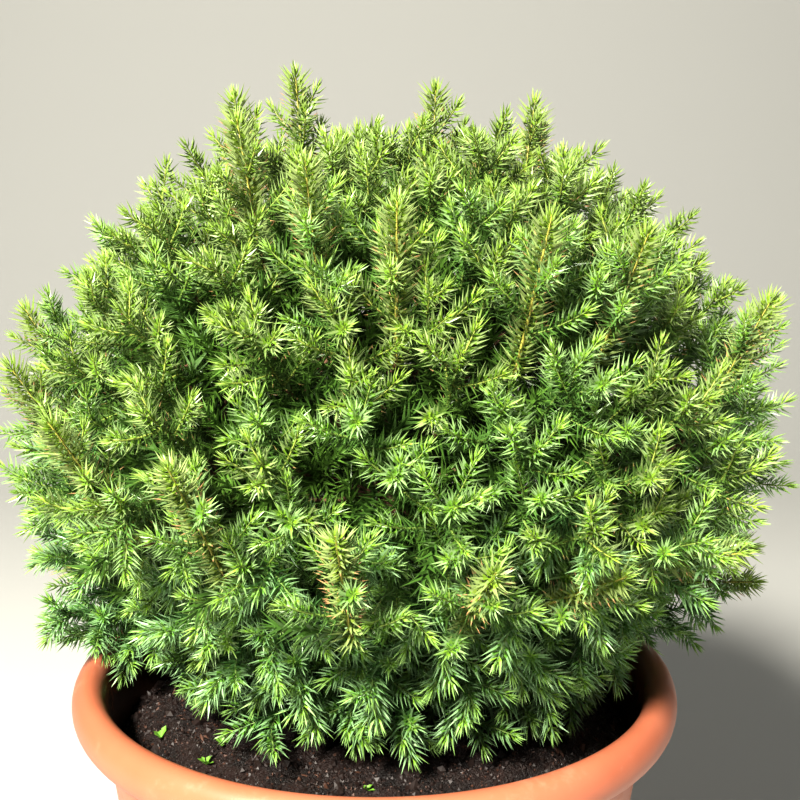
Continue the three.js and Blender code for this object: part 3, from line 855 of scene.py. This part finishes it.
def grow_inside(limb_path, count, draw, shoots):
    """Old, shaded shoots along a limb, which close the crown to view."""
    length = sum((b - a).length for a, b in zip(limb_path, limb_path[1:]))
    turn = 2 * math.pi * draw()
    for k in range(count):
        start, along = place_back(limb_path, length * (k + draw()) / count)
        turn += math.radians(GOLDEN_ANGLE)
        way = side_direction(along, turn, INNER_ANGLE)
        inner = shoot_path(start, way, (26 + 14 * draw()) * MM, SHADED_LIFT)
        if fits(inner, SHADE_ROOM):
            shoots["inner"].append(inner)


def grow_shell(masses, shoots, wood):
    """Shaded sprays under the outer coat, which spread sideways and close the gaps between masses."""
    for i in range(SHELL_SPRAYS):
        draw = seeded(SEED * SPRAYS + i)
        foot = outwards(spread(i, SHELL_SPRAYS)[1], SHELL_SHARE)
        axis = facing(foot)
        heart = min((mass["heart"] for mass in masses), key=lambda h: (h - foot).length_squared)
        if not fits([heart, foot], SHADE_ROOM):
            continue
        wood.append(([heart, foot], SHELL_RADII))
        for k in range(SHELL_SHOOTS):
            turn = math.radians(GOLDEN_ANGLE) * (i + k)
            way = side_direction(axis, turn, SHELL_ANGLE + SHELL_ANGLE_STEP * k)
            shaded = shoot_path(foot, way, (28 + 10 * draw()) * MM, SHADED_LIFT)
            if fits(shaded, SHADE_ROOM):
                shoots["shaded"].append(shaded)


def curve_object(name, paths, radii=None):
    """Open polylines as one curve object; radii gives each its first and last radius."""
    curve = bpy.data.curves.new(name, "CURVE")
    curve.dimensions = "3D"
    for k, path in enumerate(paths):
        spline = curve.splines.new("POLY")
        spline.points.add(len(path) - 1)
        flat = [value for point in path for value in (*point, 1.0)]
        spline.points.foreach_set("co", flat)
        if radii:
            first, last = radii[k]
            thick = [first + (last - first) * j / (len(path) - 1) for j in range(len(path))]
            spline.points.foreach_set("radius", thick)
    return link(name, curve)


def skin_tree():
    """Round bark along curves, as thick as their radius says."""
    graph, wire = geometry_tree("twig_skin", ["Twigs"], "Sides")
    circle = graph.add("GeometryNodeCurvePrimitiveCircle", resolution=wire["Sides"], radius=1.0)
    skin = graph.add("GeometryNodeCurveToMesh", curve=graph.shape_of(wire["Twigs"]),
                     profile_curve=circle, scale=graph.add("GeometryNodeInputRadius"), fill_caps=True)
    return end_tree(graph, skin, wire["Material"])


def needle_template(name, start, length, width, bend, out, faces):
    """A three-sided needle along +Z, from a triangle at start, which lies out along +Y."""
    points = [
        (0.5 * width, out + 0.29 * width, start),
        (-0.5 * width, out + 0.29 * width, start),
        (0, out - 0.58 * width, start),
        (0, bend, length),
    ]
    return mesh_object(name, points, faces)


def needle_templates():
    """An awl-shaped needle's base and end, plain needles and the brown end of an old one."""
    length, width, bend = NEEDLE_LENGTH, NEEDLE_WIDTH, NEEDLE_BEND
    broad, out = NEEDLE_BROAD * length, NEEDLE_BROAD ** 2 * bend
    base = [(3, 1, 0), (3, 2, 1), (3, 0, 2)]
    end = [(3, 0, 1), (3, 1, 2), (3, 2, 0)]
    both = [(0, 2, 1), *end]
    kinds = {
        "base": (broad, 0, width, 0, out, base),
        "end": (broad, length, width, bend, out, end),
        "old": (0, length, width, bend, 0, both),
        "inner": (0, length, 1.3 * width, bend, 0, both),
        "brown": (0.74 * length, 1.02 * length, 0.5 * width, 1.03 * bend, 0.66 * bend, both),
    }
    return {kind: needle_template("needle_" + kind, *values) for kind, values in kinds.items()}


def needle_tree():
    """Needles spiralling round shoots: short and closed in at the tip, long and spread lower down."""
    numbers = ["Spacing", "From Tip", "To", "Share", "Opening", "Bud Angle", "Old Angle",
               "Bud Length", "Old Length"]
    graph, wire = geometry_tree("needle_coat", ["Shoots", "Needle"], "Seed", numbers)
    even = graph.add("GeometryNodeResampleCurve", {"mode": "LENGTH"},
                     curve=graph.shape_of(wire["Shoots"]), length=wire["Spacing"])
    whole = graph.add("GeometryNodeSplineLength")
    along = graph.add("GeometryNodeSplineParameter").out("Length")
    capture = graph.tree.nodes.new("GeometryNodeCaptureAttribute")
    capture.capture_items.new("FLOAT", "from tip")
    graph.put(capture.inputs["Geometry"], even)
    graph.put(capture.inputs["from tip"], whole - along)
    from_tip = Wire(graph, capture.outputs["from tip"])
    points = graph.add("GeometryNodeCurveToPoints", {"mode": "EVALUATED"},
                       curve=Wire(graph, capture.outputs["Geometry"]))
    seed = wire["Seed"]
    spin = graph.add("GeometryNodeInputIndex") * math.radians(GOLDEN_ANGLE)
    spin = spin + graph.random(-SPIN_JITTER, SPIN_JITTER, seed)
    opened = graph.smooth(from_tip, 0.0, wire["Opening"])
    tilt = wire["Bud Angle"] + (wire["Old Angle"] - wire["Bud Angle"]) * opened
    tilt = tilt + graph.random(-TILT_JITTER, TILT_JITTER, seed + 1)
    grown = graph.smooth(from_tip, 0.0, wire["Opening"] * GROWN_AT)
    length = wire["Bud Length"] + (wire["Old Length"] - wire["Bud Length"]) * grown
    length = length * graph.random(*NEEDLE_LENGTHS, seed + 2)
    turn = points.out("Rotation")
    for angles in ((0.0, 0.0, spin), (tilt, 0.0, 0.0)):
        turn = graph.add("FunctionNodeRotateRotation", {"rotation_space": "LOCAL"}, turn,
                         graph.add("ShaderNodeCombineXYZ", None, *angles))
    width = THICK_SHARE + (1 - THICK_SHARE) * length
    size = graph.add("ShaderNodeCombineXYZ", None, width, length, length)
    chosen = (from_tip > wire["From Tip"]) * (from_tip < wire["To"])
    chosen = chosen * (graph.random(0.0, 1.0, seed + 3) < wire["Share"])
    placed = graph.add("GeometryNodeInstanceOnPoints", points=points, selection=chosen,
                       instance=graph.shape_of(wire["Needle"]), rotation=turn, scale=size)
    return end_tree(graph, placed, wire["Material"])


# Shoots by hue: needle colours at a shoot's tip, along it and where it is older, and of the needles'
# ends at its tip and elsewhere, which are paler and bluer: partly the needles' own paler tips and
# partly painted highlight; how close needles stand, how long and spread the older are; its stem.
HUES = {
    "leading": {
        "bud": (0.235, 0.36, 0.03), "fresh": (0.17, 0.265, 0.028), "old": (0.185, 0.25, 0.043),
        "bud ends with highlight": (0.255, 0.365, 0.085), "ends": (0.275, 0.35, 0.13),
        "closer": 0.65, "length": 1.28, "angle": 76, "stem": (0.38, 0.34, 0.08), "radius": 1.2 * MM,
    },
    "lime": {
        "bud": (0.215, 0.345, 0.026), "fresh": (0.135, 0.237, 0.022), "old": (0.1, 0.18, 0.037),
        "bud ends with highlight": (0.235, 0.345, 0.075), "ends": (0.23, 0.31, 0.115),
        "closer": 1.0, "length": 1.0, "angle": 74, "stem": (0.27, 0.31, 0.07), "radius": 0.8 * MM,
    },
    "grass": {
        "bud": (0.205, 0.355, 0.028), "fresh": (0.122, 0.247, 0.026), "old": (0.093, 0.19, 0.042),
        "bud ends with highlight": (0.225, 0.355, 0.085), "ends": (0.22, 0.335, 0.135),
        "closer": 1.0, "length": 1.0, "angle": 74, "stem": (0.21, 0.28, 0.065), "radius": 0.8 * MM,
    },
    "moss": {
        "bud": (0.19, 0.35, 0.036), "fresh": (0.108, 0.242, 0.036), "old": (0.081, 0.19, 0.052),
        "bud ends with highlight": (0.21, 0.35, 0.1), "ends": (0.2, 0.335, 0.155),
        "closer": 1.0, "length": 1.15, "angle": 68, "stem": (0.16, 0.24, 0.065), "radius": 0.8 * MM,
    },
}
HUE_SCATTER, LIME_FROM, GRASS_FROM = 0.9, 0.42, -0.12
STEM_TAPER, STEM_SIDES, BARK_SIDES = 0.4, 3, 5
# Where each zone of a shoot begins and ends, from its tip, and how close its needles stand.
ZONES = {
    "bud": (-1.0, 5 * MM, 0.5 * MM),
    "fresh": (5 * MM, 16 * MM, 0.46 * MM),
    "old": (16 * MM, 1.0, 0.66 * MM),
}
# Needles inside the crown, in greens darker than the outer needles: painted shade of the crown's
# inside.
INNER_SHADE_COLOURS = {"inner": (0.055, 0.12, 0.02), "shaded": (0.09, 0.18, 0.028)}
INNER_LENGTH = {"inner": 1.4, "shaded": 1.2}
BROWN_TIP, BROWN_REACH = (0.5, 0.29, 0.15), 60 * MM
BROWN_SHARE = {"leading": 0.6, "lime": 0.15}  # of the older needles
ALL = 2.0  # a share above any random number


def hue_of(spray):
    """Sprays high on the crown are yellower, and low ones bluer."""
    level = spray["height"] + HUE_SCATTER * (spray["draw"]() - 0.5)
    return "lime" if level > LIME_FROM else "grass" if level > GRASS_FROM else "moss"


def plan_shoots(masses):
    """The paths of all shoots by their hue, and all stalks with their first and last radius."""
    shoots, wood = {hue: [] for hue in (*HUES, *INNER_SHADE_COLOURS)}, []
    for between in (False, True):
        for i in range(SPRAYS):
            spray = plan_spray(i, masses, between)
            spray["hue"] = hue_of(spray)
            grow_spray(spray, shoots, wood)
    for k, mass in enumerate(masses):
        wood.append(([mass["limb"][2], mass["heart"]], BOUGH_END_RADII))
        if mass["bough"]:
            bough = [quadratic(*mass["limb"], j / 6) for j in range(7)] + [mass["heart"]]
            grow_inside(bough, BOUGH_SHOOTS, seeded(SEED - 1 - k), shoots)
    grow_shell(masses, shoots, wood)
    return shoots, wood


def coat_shoots(shoots, everywhere):
    """Needles on every shoot, in a piece for each hue, zone and kind of needle."""
    needles = needle_templates()
    tree = needle_tree()
    bud = {"Bud Angle": math.radians(30), "Opening": 7 * MM, "Bud Length": 0.7}

    def coat(name, curve, colour, needle, values):
        material = shader(name, plain(colour, NEEDLE_ROUGHNESS, NEEDLE_SHEEN))
        fixed = {"Seed": 3, "Shoots": curve, "Needle": needles[needle], "Material": material}
        show(run_tree(name, tree, {"Share": ALL, **bud, **values, **fixed}), everywhere)

    for hue, look in HUES.items():
        curve = curve_object("shoots_" + hue, shoots[hue])
        habit = {"Old Angle": math.radians(look["angle"]), "Old Length": look["length"]}
        for zone, (nearest, furthest, spacing) in ZONES.items():
            spacing *= look["closer"]
            here = {**habit, "Spacing": spacing, "From Tip": nearest, "To": furthest}
            whole = zone == "old" and hue != "leading"
            coat(f"needles_{hue}_{zone}", curve, look[zone], "old" if whole else "base", here)
            if not whole:
                # The ends' paler colour is partly the needles' own paler tips and partly painted
                # highlight.
                ends = look["bud ends with highlight" if zone == "bud" else "ends"]
                coat(f"needle_ends_{hue}_{zone}", curve, ends, "end", here)
            if zone == "old" and hue in BROWN_SHARE:
                tips = {**here, "To": BROWN_REACH, "Share": BROWN_SHARE[hue]}
                coat(f"brown_ends_{hue}", curve, BROWN_TIP, "brown", tips)
        bpy.data.objects.remove(curve)
    # The inner needles' dark colours are painted shade.
    for hue, colour in INNER_SHADE_COLOURS.items():
        curve = curve_object("shoots_" + hue, shoots[hue])
        spacing = {"Spacing": 1.0 * MM, "From Tip": -1.0, "To": 1.0}
        habit = {"Old Angle": math.radians(60), "Old Length": INNER_LENGTH[hue]}
        coat("needles_" + hue, curve, colour, "inner", {**spacing, **habit})
        bpy.data.objects.remove(curve)
    for template in needles.values():
        bpy.data.objects.remove(template)


def skin_wood(shoots, wood, everywhere, bark):
    """Bark on the stalks, and green stems in the shoots."""
    skin = skin_tree()

    def cover(name, paths, radii, sides, material, slot):
        twigs = curve_object(name + "_paths", paths, radii)
        piece = run_tree(name, skin, {"Twigs": twigs, "Sides": sides, "Material": material})
        show(piece, everywhere)
        bpy.data.objects.remove(twigs)

    cover("twig_bark", *zip(*wood), BARK_SIDES, bark, "bark")
    for hue, look in HUES.items():
        name = "shoot_stems_" + hue
        paint = shader(name, plain(look["stem"]))
        radii = [(look["radius"], STEM_TAPER * look["radius"])] * len(shoots[hue])
        cover(name, shoots[hue], radii, STEM_SIDES, paint, "needles")


def make_foliage(masses, bark):
    everywhere = ["foliage_" + mass["name"] for mass in masses]
    shoots, wood = plan_shoots(masses)
    coat_shoots(shoots, everywhere)
    skin_wood(shoots, wood, everywhere, bark)


# ---- Stage, lights and camera ----

CAMERA_PLACE = Vector((0, -0.6731, 0.5795))
CAMERA_YAW, CAMERA_PITCH, CAMERA_ROLL = 1.10, 10.44, 0.47  # degrees
CAMERA_FOCAL, CAMERA_SENSOR = 54.0, 36.0  # millimetres

FLOOR_FRONT, FLOOR_BACK, FLOOR_HALF_WIDTH, SWEEP, BACKDROP_TOP = -6.0, 3.0, 6.0, 1.5, 6.0
FLOOR_COLOUR = (0.55, 0.55, 0.535)
LIT_POINT = Vector((0, 0, 0.42))
WORLD_COLOUR, WORLD_STRENGTH = (1.0, 1.0, 0.95, 1), 0.22
TONE_GAMMA = 0.82  # below 1 the shadows are deeper


def make_camera():
    yaw, pitch, roll = (math.radians(v) for v in (CAMERA_YAW, CAMERA_PITCH, CAMERA_ROLL))
    level = Matrix.Rotation(-yaw, 4, "Z") @ Matrix.Rotation(math.pi / 2 - pitch, 4, "X")
    data = bpy.data.cameras.new("camera")
    data.lens, data.sensor_width = CAMERA_FOCAL, CAMERA_SENSOR
    data.clip_start, data.clip_end = 0.01, 50
    camera = link("camera", data)
    camera.matrix_world = Matrix.Translation(CAMERA_PLACE) @ level @ Matrix.Rotation(roll, 4, "Z")
    bpy.context.scene.camera = camera


def area_light(name, place, size, energy, colour):
    data = bpy.data.lights.new(name, "AREA")
    data.shape, data.size, data.energy, data.color = "DISK", size, energy, colour
    aim = (LIT_POINT - place).to_track_quat("-Z", "Y").to_matrix().to_4x4()
    link(name, data).matrix_world = Matrix.Translation(place) @ aim


def make_stage():
    """A pale floor that sweeps up into a backdrop, two soft lamps and a dim sky."""
    profile = [(FLOOR_FRONT, 0.0)] + arc((FLOOR_BACK - SWEEP, SWEEP), (SWEEP, SWEEP), -90, 0, 10)
    profile.append((FLOOR_BACK, BACKDROP_TOP))
    points = [(x, y, z) for y, z in profile for x in (-FLOOR_HALF_WIDTH, FLOOR_HALF_WIDTH)]
    faces = [(2 * j, 2 * j + 1, 2 * j + 3, 2 * j + 2) for j in range(len(profile) - 1)]
    paint = shader("floor", plain(FLOOR_COLOUR, 0.9))
    floor = mesh_object("floor", points, faces, paint, smooth=True)
    area_light("key", Vector((-0.8, -1.68, 1.9)), size=0.4, energy=262, colour=(1.0, 0.965, 0.87))
    area_light("fill", Vector((1.9, -1.2, 1.1)), size=2.0, energy=6, colour=(0.9, 0.95, 1.0))
    world = bpy.data.worlds.new("studio")
    world.use_nodes = True
    background = world.node_tree.nodes["Background"]
    background.inputs["Color"].default_value = WORLD_COLOUR
    background.inputs["Strength"].default_value = WORLD_STRENGTH
    bpy.context.scene.world = world


view = bpy.context.scene.view_settings
view.view_transform, view.gamma = "Standard", TONE_GAMMA
make_camera()
make_stage()
masses = plan_masses()
bark = shader("bark", bark_finish)
make_pot(shader("plastic", plastic_finish))
soil = make_soil(shader("soil", soil_finish))
strew_crumbs(soil)
make_seedlings(shader("seedlings", plain(SEEDLING_GREEN)))
make_trunk(bark)
make_boughs(masses, bark)
make_foliage(masses, bark)
